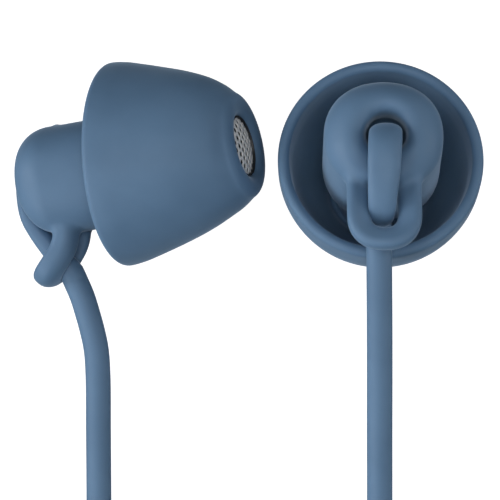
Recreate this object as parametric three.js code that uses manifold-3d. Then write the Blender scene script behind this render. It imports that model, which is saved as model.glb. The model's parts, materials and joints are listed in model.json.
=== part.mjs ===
// Neckband earphones for sleeping: two soft in-ear buds on short leads, and a U-shaped neckband with two pods.
// The set lies on a flat surface. Millimetres, +Z up, the origin on that surface under the neckband's middle.
import * as THREE from "three";
import { mergeVertices } from "three/addons/utils/BufferGeometryUtils.js";
import Module from "manifold-3d";

const wasm = await Module();
wasm.setup();

// ---------------------------------------------------------------- driving dimensions
const GAP = 0.3; // clearance between pieces that touch
const DEG = Math.PI / 180;

// An ear bud, in its own frame: its axis is Z, the bell's rim lies in z = 0, the nozzle points to -Z,
// and the lead hangs towards -Y.
const BELL_RADIUS = 6.8;
const BELL_LENGTH = 9.4;
const BELL_WALL = 0.7;
const LIP_RADIUS = 0.8; // the rounded lip round the sound opening
const OPENING_RADIUS = 1.95;
const NOZZLE_RADIUS = 2.1; // the hard tube inside the soft tip
const NOZZLE_WALL = 0.3;
const HOUSING_RADIUS = 3.6;
const HOUSING_WIDER = 1.08; // the housing is this much wider across X than across Y
const HOUSING_FRONT = -4.3;
const HOUSING_BACK = 6.3;
const DOME_RADIUS = 1.7; // the rounding of the housing's back edge
const LEAD_HOLE_RADIUS = 1.25;
const CAVITY_RADIUS = 2.95;
const CAVITY_ROOF = 2.6;
const LOOP_HALF_WIDTH = 1.7;
const LOOP_THICKNESS = 1.5;
const STRAP_WIDTH = 1.9;
const STRAP_THICKNESS = 0.9;
const LEAD_DIAMETER = 1.6;

// Where the two buds lie, and how they are turned.
const LEFT_BUD = { place: [-8.96, 25.64, 6.5], turn: [0, -109, 8.5] };
const RIGHT_BUD = { place: [8.67, 26.14, 10.75], turn: [-17, 0, 0] };

// The neckband.
const BAND_RADIUS = 60; // of the U's bend, to the middle of the sleeve
const BAND_TOP = 78; // the sleeve's outermost point behind the neck
const SLEEVE_RADIUS = 2.4;
const WIRE_RADIUS = 0.45;
const WIRE_BORE = 0.8;

// The pods at the ends of the neckband, each along Y.
const POD_X = 58;
const POD_WIDTH = 11;
const POD_HEIGHT = 9;
const POD_BACK = -20;
const POD_FRONT = -74;
const POD_WALL = 1.3;
const POD_ROUNDING = 2.2;
const SPLIT_Z = POD_HEIGHT / 2;
const GLAND_LENGTH = 4;
const COLLAR_LENGTH = 6;
const BUTTON_TRAVEL = 0.4;
const BUTTON_PITCH = 9;
const PLAY_Y = -42;
const PORT_Y = -60;
const COVER = { length: 11.4, height: 4.4, thickness: 0.7 };

// ---------------------------------------------------------------- materials
const SLATE = 0x60799a;
const finish = (color, roughness, metalness = 0) =>
  new THREE.MeshStandardMaterial({ color, roughness, metalness });
const SILICONE = finish(SLATE, 0.7);
const POD_PLASTIC = finish(0x5a7291, 0.55);
const BLACK_PLASTIC = finish(0x1d2024, 0.5);
const STEEL = finish(0xb9bcc0, 0.35, 1);
const SPRING_WIRE = finish(0x9a9ea3, 0.4, 1);
const FOAM = finish(0x3a3d42, 0.95);
const FILM = finish(0xc9b98a, 0.4);
const COPPER = finish(0xb87333, 0.35, 1);
const BOARD_GREEN = finish(0x1f5a3c, 0.5);
const CELL_FOIL = finish(0xa8acb2, 0.4, 0.6);
const CLEAR = finish(0xe6ecf2, 0.2);

// ---------------------------------------------------------------- shape helpers
const all = new THREE.Group();

function named(name, geometry, material, parent = all) {
  const mesh = new THREE.Mesh(geometry, material);
  mesh.name = name;
  parent.add(mesh);
  return mesh;
}

function toSolid(geometry) {
  const bare = geometry.clone();
  bare.deleteAttribute("normal");
  bare.deleteAttribute("uv");
  const merged = mergeVertices(bare, 1e-4);
  return new wasm.Manifold(
    new wasm.Mesh({
      numProp: 3,
      vertProperties: new Float32Array(merged.attributes.position.array),
      triVerts: new Uint32Array(merged.index.array),
    }),
  );
}

function toGeometry(solid) {
  const { numProp, vertProperties, triVerts } = solid.getMesh();
  const positions = new Float32Array((vertProperties.length / numProp) * 3);
  for (let i = 0; i < positions.length / 3; i++)
    positions.set(vertProperties.subarray(i * numProp, i * numProp + 3), i * 3);
  return new THREE.BufferGeometry()
    .setAttribute("position", new THREE.BufferAttribute(positions, 3))
    .setIndex(new THREE.BufferAttribute(new Uint32Array(triVerts), 1));
}

// first, less each of the others
function cut(first, ...others) {
  return toGeometry(others.reduce((solid, g) => solid.subtract(toSolid(g)), toSolid(first)));
}

function join(first, ...others) {
  return toGeometry(others.reduce((solid, g) => solid.add(toSolid(g)), toSolid(first)));
}

function common(first, second) {
  return toGeometry(toSolid(first).intersect(toSolid(second)));
}

// A profile of [radius, height] points turned about Z.
function turned(profile, segments) {
  const points = profile.map(([r, h]) => new THREE.Vector2(r, h));
  return new THREE.LatheGeometry(points, segments).rotateX(90 * DEG);
}

// A ring-shaped profile, which closes on itself.
const turnedRing = (profile, segments) => turned([...profile, profile[0]], segments);

const disc = (radius, from, to, segments) =>
  turned([[0, from], [radius, from], [radius, to], [0, to]], segments);

const ring = (inner, outer, from, to, segments) =>
  turnedRing([[inner, from], [outer, from], [outer, to], [inner, to]], segments);

// Points on an arc about [r, h], from one angle to another, in degrees from the +r direction.
function arc(centre, radius, from, to, steps) {
  return Array.from({ length: steps + 1 }, (_, i) => {
    const angle = (from + ((to - from) * i) / steps) * DEG;
    return [centre[0] + radius * Math.cos(angle), centre[1] + radius * Math.sin(angle)];
  });
}

// A section swept along a smooth curve through the points.
function swept(section, points, steps) {
  const path = new THREE.CatmullRomCurve3(points.map((p) => new THREE.Vector3(...p)));
  return new THREE.ExtrudeGeometry(section, { extrudePath: path, steps, bevelEnabled: false });
}

function polygonSection(radius, sides) {
  const corners = Array.from({ length: sides }, (_, i) => {
    const angle = ((i + 0.5) / sides) * 2 * Math.PI;
    return new THREE.Vector2(radius * Math.cos(angle), radius * Math.sin(angle));
  });
  return new THREE.Shape(corners);
}

function rectangleSection(width, height) {
  return new THREE.Shape([
    new THREE.Vector2(-width / 2, -height / 2),
    new THREE.Vector2(width / 2, -height / 2),
    new THREE.Vector2(width / 2, height / 2),
    new THREE.Vector2(-width / 2, height / 2),
  ]);
}

// A shape with two straight sides and two round ends, its length along Y.
function stadium(width, length) {
  const half = width / 2;
  const reach = length / 2 - half;
  const shape = new THREE.Shape();
  shape.absarc(0, reach, half, 0, Math.PI, false);
  shape.absarc(0, -reach, half, Math.PI, 2 * Math.PI, false);
  return shape;
}

// A box between two corners.
function block(low, high) {
  const size = high.map((h, i) => h - low[i]);
  const middle = high.map((h, i) => (h + low[i]) / 2);
  return new THREE.BoxGeometry(...size).translate(...middle);
}

// ---------------------------------------------------------------- ear bud
const TIP_BORE = NOZZLE_RADIUS + GAP;
const NOZZLE_END = -8.2;
const MESH_FRONT = -8.75;

// The soft tip: a bell that flares back from a rounded lip, with a sleeve inside that grips the nozzle.
function earTip() {
  const lip = arc([OPENING_RADIUS + LIP_RADIUS, LIP_RADIUS - BELL_LENGTH], LIP_RADIUS, -150, -20, 5);
  const outside = [[4.15, -8.0], [4.98, -6.4], [5.57, -5.1], [6.1, -3.6], [6.5, -2]];
  const rim = arc([BELL_RADIUS - BELL_WALL / 2, 0], BELL_WALL / 2, 0, 180, 4);
  const inside = [[5.8, -2], [5.35, -3.6], [4.8, -5.1], [4.2, -6.4], [3.5, -7.2]];
  const sleeve = [[2.9, -6.9], [2.9, -5], [TIP_BORE, -5], [TIP_BORE, -8.9], [OPENING_RADIUS, -8.95]];
  return turnedRing([...lip, ...outside, ...rim, ...inside, ...sleeve], 26);
}

// The loop under the housing that takes the pull of the lead: two limbs and a round end, in one plane.
function strainLoop(root, end) {
  const down = new THREE.Vector2(end[0] - root[0], end[1] - root[1]).normalize();
  const bendStart = [end[0] - down.x * LOOP_HALF_WIDTH, end[1] - down.y * LOOP_HALF_WIDTH];
  const bend = arc([0, 0], LOOP_HALF_WIDTH, 0, 180, 6).map(([x, along]) => [
    x,
    bendStart[0] + down.x * along,
    bendStart[1] + down.y * along,
  ]);
  const points = [[LOOP_HALF_WIDTH, ...root], ...bend, [-LOOP_HALF_WIDTH, ...root]];
  return swept(polygonSection(LOOP_THICKNESS / 2, 8), points, 18);
}

// The rear housing: a round skin with a domed back, a hole for the lead, and the strain loop below.
function rearHousing(strapRoute, loopRoot, loopEnd) {
  const domeCentre = [HOUSING_RADIUS - DOME_RADIUS, HOUSING_BACK - DOME_RADIUS];
  const holeAngle = Math.acos((LEAD_HOLE_RADIUS - domeCentre[0]) / DOME_RADIUS) / DEG;
  const skin = turnedRing(
    [
      [CAVITY_RADIUS, HOUSING_FRONT],
      [HOUSING_RADIUS - 0.15, HOUSING_FRONT],
      [HOUSING_RADIUS, HOUSING_FRONT + GAP],
      ...arc(domeCentre, DOME_RADIUS, 0, holeAngle, 6),
      [LEAD_HOLE_RADIUS, CAVITY_ROOF],
      [CAVITY_RADIUS, CAVITY_ROOF],
    ],
    22,
  ).scale(HOUSING_WIDER, 1, 1);
  const groove = rectangleSection(STRAP_WIDTH + 2.4 * GAP, STRAP_THICKNESS + 2.4 * GAP);
  return cut(join(skin, strainLoop(loopRoot, loopEnd)), swept(groove, strapRoute, 20));
}

// The lead's flattened end, from inside the housing's hole down its back and through the loop.
function strap(route) {
  return swept(rectangleSection(STRAP_WIDTH, STRAP_THICKNESS), route, 20);
}

function frontCasing() {
  const bore = NOZZLE_RADIUS - NOZZLE_WALL;
  return turnedRing(
    [
      [bore, NOZZLE_END],
      [NOZZLE_RADIUS, NOZZLE_END],
      [NOZZLE_RADIUS, -4.9],
      [2.6, -4.5],
      [2.6, -0.6],
      [2.35, -0.6],
      [2.35, -4.2],
      [bore, -4.6],
    ],
    24,
  );
}

function driverFrame() {
  return turned([[0, -1.3], [2, -1.3], [2, -3.9], [2.15, -3.9], [2.15, -0.9], [0, -0.9]], 24);
}

function diaphragm() {
  return turned([[0, -3.9], [0.8, -3.75], [1.1, -3.6], [1.8, -3.7], [1.8, -3.6], [1.1, -3.5], [0, -3.75]], 20);
}

// The strap and the loop are soft, so they lie a little differently on each bud. Points are [y, z].
const LEFT_STRAP = [
  [0.35, 3.4], [0.4, 5], [0, 6.2], [-1.3, 6.55], [-2.6, 6.4], [-3.8, 5.95], [-5, 5.2], [-6, 4.5], [-6.75, 4.05],
];
const RIGHT_STRAP = [
  [0.35, 3.4], [0.4, 5], [0, 6.2], [-1.3, 6.5], [-2.6, 6.2], [-3.8, 5.5], [-4.9, 4.6], [-5.9, 3.75], [-6.7, 3.2],
];

function earBud(side, { place, turn }, strapRoute, loopRoot, loopEnd) {
  const bud = new THREE.Group();
  bud.position.set(...place);
  bud.rotation.set(turn[0] * DEG, turn[1] * DEG, turn[2] * DEG, "ZYX");
  all.add(bud);
  const route = strapRoute.map(([y, z]) => [0, y, z]);
  named(`${side}_ear_tip`, earTip(), SILICONE, bud);
  named(`${side}_rear_housing`, rearHousing(route, loopRoot, loopEnd), SILICONE, bud);
  named(`${side}_lead_strap`, strap(route), SILICONE, bud);
  named(`${side}_front_casing`, frontCasing(), BLACK_PLASTIC, bud);
  named(`${side}_nozzle_mesh`, disc(2.05, MESH_FRONT, MESH_FRONT + 0.25, 24), STEEL, bud);
  named(`${side}_acoustic_damper`, disc(1.5, -7.6, -7, 16), FOAM, bud);
  named(`${side}_diaphragm`, diaphragm(), FILM, bud);
  named(`${side}_voice_coil`, ring(0.95, 1.15, -3.2, -2.1, 16), COPPER, bud);
  named(`${side}_driver_magnet`, disc(0.75, -3, -1.6, 16), STEEL, bud);
  named(`${side}_driver_frame`, driverFrame(), STEEL, bud);
}

earBud("left", LEFT_BUD, LEFT_STRAP, [-2.6, 3.4], [-6.55, 5.95]);
earBud("right", RIGHT_BUD, RIGHT_STRAP, [-2.6, 3.4], [-7.15, 4.75]);

// ---------------------------------------------------------------- neckband
// The sleeve's middle line: up from one pod, round behind the neck, and down to the other pod.
function bandRoute(pastSleeve) {
  const bendY = BAND_TOP - SLEEVE_RADIUS - BAND_RADIUS;
  const start = POD_BACK + GAP - pastSleeve;
  const bend = arc([0, bendY], BAND_RADIUS, 0, 180, 12).map(([x, y]) => [x, y, SLEEVE_RADIUS]);
  const arm = (side) => [
    [side * POD_X, start, SPLIT_Z],
    [side * POD_X, -12, SPLIT_Z - 0.1],
    [side * (BAND_RADIUS - 0.6), 2, SLEEVE_RADIUS + 0.8],
  ];
  return [...arm(1), ...bend, ...arm(-1).reverse()];
}

const bandSleeve = swept(polygonSection(SLEEVE_RADIUS, 10), bandRoute(0), 38);
const bandBore = swept(polygonSection(WIRE_BORE, 6), bandRoute(GAP), 38);
named("neckband_sleeve", cut(bandSleeve, bandBore), SILICONE);
named("memory_wire", swept(polygonSection(WIRE_RADIUS, 6), bandRoute(-GAP), 38), SPRING_WIRE);

// ---------------------------------------------------------------- pods
const POD_MIDDLE_Y = (POD_BACK + POD_FRONT) / 2;
const POD_LENGTH = POD_BACK - POD_FRONT;
const CAVITY_WIDTH = POD_WIDTH - 2 * POD_WALL;
const CAVITY_FLOOR = POD_WALL;
const CAVITY_TOP = POD_HEIGHT - POD_WALL;
const BOARD_TOP = 4;

// The hollow pod, before it is split, at the middle of its own X and Y.
function podShell() {
  const soft = 2 * POD_ROUNDING;
  const outer = new THREE.ExtrudeGeometry(stadium(POD_WIDTH - soft, POD_LENGTH - soft), {
    depth: POD_HEIGHT - soft,
    bevelSize: POD_ROUNDING,
    bevelThickness: POD_ROUNDING,
    bevelSegments: 3,
    curveSegments: 8,
  }).translate(0, 0, POD_ROUNDING);
  const hollow = new THREE.ExtrudeGeometry(stadium(CAVITY_WIDTH, POD_LENGTH - 2 * POD_WALL), {
    depth: CAVITY_TOP - CAVITY_FLOOR,
    bevelEnabled: false,
    curveSegments: 8,
  }).translate(0, 0, CAVITY_FLOOR);
  return cut(outer, hollow);
}

// One half of a pod, placed on its side of the neckband.
function podHalf(side, isUpper, ...holes) {
  const low = [-POD_WIDTH, -POD_LENGTH, isUpper ? SPLIT_Z + GAP / 2 : -1];
  const high = [POD_WIDTH, POD_LENGTH, isUpper ? POD_HEIGHT + 1 : SPLIT_Z - GAP / 2];
  const half = common(podShell(), block(low, high)).translate(side * POD_X, POD_MIDDLE_Y, 0);
  return holes.length ? cut(half, ...holes) : half;
}

// A ring round the sleeve where it meets the pod, and the tapered gland that the lead comes out of.
function podEnds(name, side) {
  const collar = turnedRing(
    [
      [SLEEVE_RADIUS + GAP, 0],
      [3.9, 0],
      [3.6, COLLAR_LENGTH * 0.6],
      [3, COLLAR_LENGTH],
      [SLEEVE_RADIUS + GAP, COLLAR_LENGTH],
    ],
    20,
  );
  collar.rotateX(-90 * DEG).translate(side * POD_X, POD_BACK + GAP, SPLIT_Z);
  named(`${name}_pod_collar`, collar, POD_PLASTIC);
  const gland = turned([[0, GAP], [2.2, GAP], [1.7, 1.6], [1.15, GLAND_LENGTH], [0, GLAND_LENGTH]], 16);
  gland.rotateX(90 * DEG).translate(side * POD_X, POD_FRONT, SPLIT_Z);
  named(`${name}_lead_gland`, gland, SILICONE);
}

function leftPod() {
  named("left_pod_lower_shell", podHalf(-1, false), POD_PLASTIC);
  named("left_pod_upper_shell", podHalf(-1, true), POD_PLASTIC);
  named("battery_cell", block([-POD_X - 3.5, -63, 1.7], [-POD_X + 3.5, -31, 7.2]), CELL_FOIL);
  podEnds("left", -1);
}

const BUTTONS = [
  { name: "volume_up_button", y: PLAY_Y + BUTTON_PITCH, width: 4.4, length: 6.6 },
  { name: "play_button", y: PLAY_Y, width: 5, length: 5.01 },
  { name: "volume_down_button", y: PLAY_Y - BUTTON_PITCH, width: 4.4, length: 6.6 },
];
const FLANGE_BOTTOM = 6.85;
const FLANGE_TOP = CAVITY_TOP - GAP;
const BUTTON_TOP = POD_HEIGHT + 0.5;

// An upright plate with round ends over the right pod.
function plate(width, length, y, from, to) {
  const options = { depth: to - from, bevelEnabled: false, curveSegments: 8 };
  return new THREE.ExtrudeGeometry(stadium(width, length), options).translate(POD_X, y, from);
}

function buttonHole({ y, width, length }) {
  return plate(width + 2 * GAP, length + 2 * GAP, y, CAVITY_TOP - 1, POD_HEIGHT + 1);
}

// A key cap that stands through the pod's roof, with a flange under the roof that keeps it in.
function button({ y, width, length }) {
  const cap = plate(width, length, y, FLANGE_TOP - 0.1, BUTTON_TOP);
  const flange = plate(width + 1.2, length + 1.2, y, FLANGE_BOTTOM, FLANGE_TOP);
  return join(cap, flange);
}

function tactSwitch(y) {
  const top = FLANGE_BOTTOM - BUTTON_TRAVEL - 0.05;
  const body = block([POD_X - 1.8, y - 1.8, BOARD_TOP + GAP], [POD_X + 1.8, y + 1.8, top - 0.6]);
  return join(body, disc(0.8, top - 0.8, top, 12).translate(POD_X, y, 0));
}

function usbSocket() {
  const shape = stadium(3.16, 8.94);
  shape.holes.push(stadium(2.56, 8.34));
  const depth = 7;
  const options = { depth, bevelEnabled: false, curveSegments: 6 };
  const tube = new THREE.ExtrudeGeometry(shape, options);
  const back = new THREE.ExtrudeGeometry(stadium(3.16, 8.94), { ...options, depth: 0.6 });
  return join(tube, back).rotateY(90 * DEG).translate(POD_X - 2.7, PORT_Y, SPLIT_Z);
}

function rightPod() {
  const outerFace = POD_X + POD_WIDTH / 2;
  const coverFrom = PORT_Y - COVER.length / 2;
  const recess = block(
    [outerFace - COVER.thickness - GAP, coverFrom - GAP, SPLIT_Z - COVER.height / 2 - GAP],
    [outerFace + 1, coverFrom + COVER.length + GAP, SPLIT_Z + COVER.height / 2 + GAP],
  );
  const portHole = block([POD_X + 3.5, PORT_Y - 4.8, 2.6], [outerFace + 1, PORT_Y + 4.8, 6.4]);
  const pipeHole = disc(0.9, CAVITY_TOP - 1, POD_HEIGHT + 1, 12).translate(POD_X, PORT_Y, 0);
  const micHole = disc(0.4, CAVITY_TOP - 1, POD_HEIGHT + 1, 8).translate(POD_X, -26.6, 0);
  const topHoles = [...BUTTONS.map(buttonHole), pipeHole, micHole];
  named("right_pod_lower_shell", podHalf(1, false, recess, portHole), POD_PLASTIC);
  named("right_pod_upper_shell", podHalf(1, true, recess, portHole, ...topHoles), POD_PLASTIC);
  for (const spec of BUTTONS) {
    named(spec.name, button(spec), SILICONE);
    named(spec.name.replace("button", "switch"), tactSwitch(spec.y), STEEL);
  }
  named("control_board", block([POD_X - 3.8, -54.7, 3.2], [POD_X + 3.8, -24.8, BOARD_TOP]), BOARD_GREEN);
  named("radio_module", block([POD_X - 3, -47, 1.6], [POD_X + 3, -37, 2.9]), STEEL);
  named("microphone", disc(1.3, BOARD_TOP + GAP, 5.4, 12).translate(POD_X, -26.6, 0), STEEL);
  named("usb_socket", usbSocket(), STEEL);
  named("status_light_pipe", disc(0.6, 6.5, POD_HEIGHT, 12).translate(POD_X, PORT_Y, 0), CLEAR);
  const coverLow = [outerFace - COVER.thickness, coverFrom, SPLIT_Z - COVER.height / 2];
  const coverHigh = [outerFace, coverFrom + COVER.length, SPLIT_Z + COVER.height / 2];
  named("port_cover", block(coverLow, coverHigh), SILICONE);
  podEnds("right", 1);
}

leftPod();
rightPod();

// ---------------------------------------------------------------- leads
// Each lead leaves its bud below the strain loop, comes down to the surface, and runs in loose curves
// to the gland at the end of its pod.
const LEFT_LEAD = [
  [-11.52, 18.1, 5.24], [-11.1, 16.8, 5.3], [-10.66, 15.3, 5.25], [-10.36, 13.9, 5.1], [-10.14, 12.4, 4.85],
  [-10.09, 8, 4.2], [-10.09, 3, 3.2], [-10.1, -3, 2], [-10.5, -10, 1.15], [-13.2, -18.5, 0.85],
  [-20, -27, 0.85], [-30, -34, 0.85], [-38, -42.5, 0.85], [-39, -54, 0.85], [-31.5, -62, 0.85],
  [-21.5, -68.5, 0.85], [-16.5, -78, 0.85], [-19, -89, 0.85], [-28.5, -96.5, 0.85], [-41, -98.5, 0.9],
  [-51, -94, 1.5], [-56.3, -87.5, 3], [-57.9, -82.5, 4.2], [-58, -78.3, 4.5],
];
const RIGHT_LEAD = [
  [8.66, 20.3, 15.65], [8.62, 17, 14.65], [8.58, 13, 13.6], [8.58, 8, 12.2], [8.58, 3, 10.5],
  [8.6, -4, 7.7], [8.9, -11, 4.9], [10, -18, 2.5], [13, -25.5, 1.15], [19.5, -32, 0.85],
  [29.5, -37.5, 0.85], [37.5, -45, 0.85], [38.5, -56, 0.85], [31, -64, 0.85], [21.5, -70, 0.85],
  [16.5, -79, 0.85], [19, -89.5, 0.85], [28.5, -96.8, 0.85], [41, -98.5, 0.9], [51, -94, 1.5],
  [56.3, -87.5, 3], [57.9, -82.5, 4.2], [58, -78.3, 4.5],
];
const leadSection = polygonSection(LEAD_DIAMETER / 2, 8);
named("left_lead", swept(leadSection, LEFT_LEAD, 52), SILICONE);
named("right_lead", swept(leadSection, RIGHT_LEAD, 52), SILICONE);

export default all;
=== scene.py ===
"""Neckband earphones for sleeping, laid on a pale surface: the looks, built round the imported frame."""
import json
import math

import bmesh
import bpy
import numpy as np
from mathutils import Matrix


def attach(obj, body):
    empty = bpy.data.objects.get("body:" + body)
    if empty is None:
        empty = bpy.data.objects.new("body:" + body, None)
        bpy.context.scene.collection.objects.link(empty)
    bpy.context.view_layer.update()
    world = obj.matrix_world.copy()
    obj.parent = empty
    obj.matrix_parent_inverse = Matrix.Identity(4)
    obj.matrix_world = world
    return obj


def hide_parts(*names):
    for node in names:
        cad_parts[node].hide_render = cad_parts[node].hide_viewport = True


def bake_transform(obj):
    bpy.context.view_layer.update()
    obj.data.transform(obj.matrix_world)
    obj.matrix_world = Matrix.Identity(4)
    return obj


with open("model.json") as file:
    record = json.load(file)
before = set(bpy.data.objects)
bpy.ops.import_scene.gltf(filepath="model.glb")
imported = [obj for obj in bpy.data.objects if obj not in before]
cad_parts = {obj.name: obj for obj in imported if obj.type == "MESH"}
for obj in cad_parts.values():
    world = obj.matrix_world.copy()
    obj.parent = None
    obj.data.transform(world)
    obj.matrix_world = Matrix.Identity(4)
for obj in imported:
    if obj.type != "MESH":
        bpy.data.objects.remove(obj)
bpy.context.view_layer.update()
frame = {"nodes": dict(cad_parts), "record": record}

import openvdb
from mathutils import Matrix, Vector

MM = 0.001
BUDS_Y = 20.0 * MM  # the middle of what the camera sees, between the two buds
BUD_HEIGHT = 8.0 * MM


# ------------------------------------------------------------------ camera
def make_camera():
    distance, seen = 0.30, 33.2 * MM
    data = bpy.data.cameras.new("camera")
    data.sensor_width = 36.0
    data.lens = data.sensor_width * distance / seen
    data.clip_start, data.clip_end = 0.01, 10.0
    camera = bpy.data.objects.new("camera", data)
    camera.location = (0.0, BUDS_Y, BUD_HEIGHT + distance)
    bpy.context.collection.objects.link(camera)
    bpy.context.scene.camera = camera


# ------------------------------------------------------------------ mesh helpers
def add_mesh(name, points, faces, material, smooth=True):
    mesh = bpy.data.meshes.new(name)
    mesh.from_pydata([tuple(p) for p in points], [], [tuple(int(i) for i in f) for f in faces])
    mesh.update()
    obj = bpy.data.objects.new(name, mesh)
    bpy.context.collection.objects.link(obj)
    work = bmesh.new()
    work.from_mesh(mesh)
    bmesh.ops.recalc_face_normals(work, faces=work.faces)
    work.to_mesh(mesh)
    work.free()
    mesh.materials.append(material)
    mesh.polygons.foreach_set("use_smooth", [smooth] * len(mesh.polygons))
    return obj


def smooth_line(points, count, closed=False):
    """count points, evenly spaced, on a Catmull-Rom curve through the given ones."""
    p = np.asarray(points, float)
    if closed:
        padded = np.vstack([p[-1:], p, p[:2]])
    else:
        padded = np.vstack([2 * p[:1] - p[1:2], p, 2 * p[-1:] - p[-2:-1]])
    dense = []
    steps = 24
    for a, b, c, d in zip(padded[:-3], padded[1:-2], padded[2:-1], padded[3:]):
        knots = np.cumsum([0.0] + [max(np.linalg.norm(v), 1e-9) ** 0.5 for v in (b - a, c - b, d - c)])
        t = np.linspace(knots[1], knots[2], steps, endpoint=False)[:, None]
        a1 = (knots[1] - t) / (knots[1] - knots[0]) * a + (t - knots[0]) / (knots[1] - knots[0]) * b
        a2 = (knots[2] - t) / (knots[2] - knots[1]) * b + (t - knots[1]) / (knots[2] - knots[1]) * c
        a3 = (knots[3] - t) / (knots[3] - knots[2]) * c + (t - knots[2]) / (knots[3] - knots[2]) * d
        b1 = (knots[2] - t) / (knots[2] - knots[0]) * a1 + (t - knots[0]) / (knots[2] - knots[0]) * a2
        b2 = (knots[3] - t) / (knots[3] - knots[1]) * a2 + (t - knots[1]) / (knots[3] - knots[1]) * a3
        share = (t - knots[1]) / (knots[2] - knots[1])
        dense.append((1.0 - share) * b1 + share * b2)
    dense = np.vstack([*dense, p[:1] if closed else p[-1:]])
    along = np.concatenate([[0.0], np.cumsum(np.linalg.norm(np.diff(dense, axis=0), axis=1))])
    wanted = np.linspace(0.0, along[-1], count + (1 if closed else 0))
    line = np.stack([np.interp(wanted, along, dense[:, i]) for i in range(p.shape[1])], axis=1)
    return line[:-1] if closed else line


def revolve(profile, segments):
    """Points and quads of a closed (radius, height) profile turned about Z."""
    turns = np.linspace(0.0, 2 * math.pi, segments, endpoint=False)
    r, h = profile[:, 0], profile[:, 1]
    rings = [np.stack([r * math.cos(t), r * math.sin(t), h], axis=1) for t in turns]
    n = len(profile)
    starts = [(s * n, (s + 1) % segments * n) for s in range(segments)]
    faces = [(a + i, b + i, b + (i + 1) % n, a + (i + 1) % n) for a, b in starts for i in range(n)]
    return np.vstack(rings), faces


def frames_along(line, first_side):
    """For each point of a line, two directions across it, without twist."""
    tangents = np.gradient(line, axis=0)
    tangents /= np.linalg.norm(tangents, axis=1)[:, None]
    side = np.asarray(first_side, float)
    sides = []
    for t in tangents:
        side = side - t * (side @ t)
        side /= np.linalg.norm(side)
        sides.append(side)
    sides = np.array(sides)
    return sides, np.cross(tangents, sides)


def stacked(rings):
    """A closed solid from rings of points: quads between neighbours, and a cap on the first and the last."""
    count = len(rings[0])
    starts = [(i * count, (i + 1) * count) for i in range(len(rings) - 1)]
    faces = [(a + j, a + (j + 1) % count, b + (j + 1) % count, b + j) for a, b in starts for j in range(count)]
    last = (len(rings) - 1) * count
    return np.vstack(rings), [*faces, tuple(range(count)), tuple(range(last, last + count))]


def sweep(line, sections, frames):
    """A tube with closed ends: sections[i] holds the (across, up) points round line[i]."""
    sides, ups = frames
    return stacked([p + s[:, :1] * a + s[:, 1:] * u for p, s, a, u in zip(line, sections, sides, ups)])


def oval(half_width, half_height, sides, squareness=2.0):
    """A superellipse: squareness 2 is an ellipse, and more is squarer."""
    t = np.linspace(0.0, 2 * math.pi, sides, endpoint=False)
    c, s = np.cos(t), np.sin(t)
    power = 2.0 / squareness
    across = half_width * np.sign(c) * np.abs(c) ** power
    up = half_height * np.sign(s) * np.abs(s) ** power
    return np.stack([across, up], axis=1)


def sharpen(obj, degrees):
    """Keeps the edges that turn by more than this sharp."""
    obj.data.set_sharp_from_angle(angle=math.radians(degrees))


def assign(obj, node, body="neckband"):
    """Hides the CAD node that a piece stands for, if any, and hangs the piece on the body that it moves with.
    """
    if node:
        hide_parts(node)
    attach(obj, body)
    return obj


# ------------------------------------------------------------------ solid shapes as distance fields
FIELD_STEP = 0.1  # millimetres


def field_grid(low, high):
    """The x, y and z of every point of a grid."""
    axes = [np.arange(a, b + FIELD_STEP, FIELD_STEP) for a, b in zip(low, high)]
    return np.meshgrid(*axes, indexing="ij")


def soft_union(a, b, blend):
    h = np.clip(0.5 + 0.5 * (b - a) / blend, 0.0, 1.0)
    return b + (a - b) * h - blend * h * (1.0 - h)


def soft_cut(a, b, blend):
    """a less b, with a rounded edge."""
    return -soft_union(-a, b, blend)


def rounded_square(u, w, corner):
    """Distance to the shape where both u and w are below 0, its corners rounded."""
    u, w = u + corner, w + corner
    outside = np.sqrt(np.maximum(u, 0.0) ** 2 + np.maximum(w, 0.0) ** 2)
    return outside + np.minimum(np.maximum(u, w), 0.0) - corner


def tube_field(grid, line, radius):
    """Distance to a round tube along a line."""
    x, y, z = grid
    best = np.full(x.shape, 1e9)
    for a, b in zip(line[:-1], line[1:]):
        d = b - a
        t = ((x - a[0]) * d[0] + (y - a[1]) * d[1] + (z - a[2]) * d[2]) / (d @ d)
        t = np.clip(t, 0.0, 1.0)
        dx, dy, dz = (axis - start - t * run for axis, start, run in zip(grid, a, d))
        best = np.minimum(best, np.sqrt(dx ** 2 + dy ** 2 + dz ** 2))
    return best - radius


def mesh_of_field(name, field, low, matrix, material):
    """The surface where the field is 0, moved from the bud's own millimetres to the row frame."""
    volume = openvdb.FloatGrid()
    volume.background = 1.0
    volume.copyFromArray(field.astype(np.float32))
    points, quads = volume.convertToQuads(isovalue=0.0)
    return add_mesh(name, placed(np.array(low) + points * FIELD_STEP, matrix), quads, material)


# ------------------------------------------------------------------ materials
def node_material(name):
    material = bpy.data.materials.new(name)
    material.use_nodes = True
    nodes = material.node_tree.nodes
    return material, nodes, material.node_tree.links, nodes["Principled BSDF"]


def mottled(nodes, links, dark, light, scale):
    """A soft variation between two colours, by position on the object, in object metres."""
    where = nodes.new("ShaderNodeTexCoord")
    noise = nodes.new("ShaderNodeTexNoise")
    noise.inputs["Scale"].default_value = scale
    noise.inputs["Detail"].default_value = 4.0
    ramp = nodes.new("ShaderNodeValToRGB")
    ramp.color_ramp.elements[0].position, ramp.color_ramp.elements[1].position = 0.35, 0.65
    ramp.color_ramp.elements[0].color = (*dark, 1.0)
    ramp.color_ramp.elements[1].color = (*light, 1.0)
    links.new(where.outputs["Object"], noise.inputs["Vector"])
    links.new(noise.outputs["Fac"], ramp.inputs["Fac"])
    return where, ramp.outputs["Color"]


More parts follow.
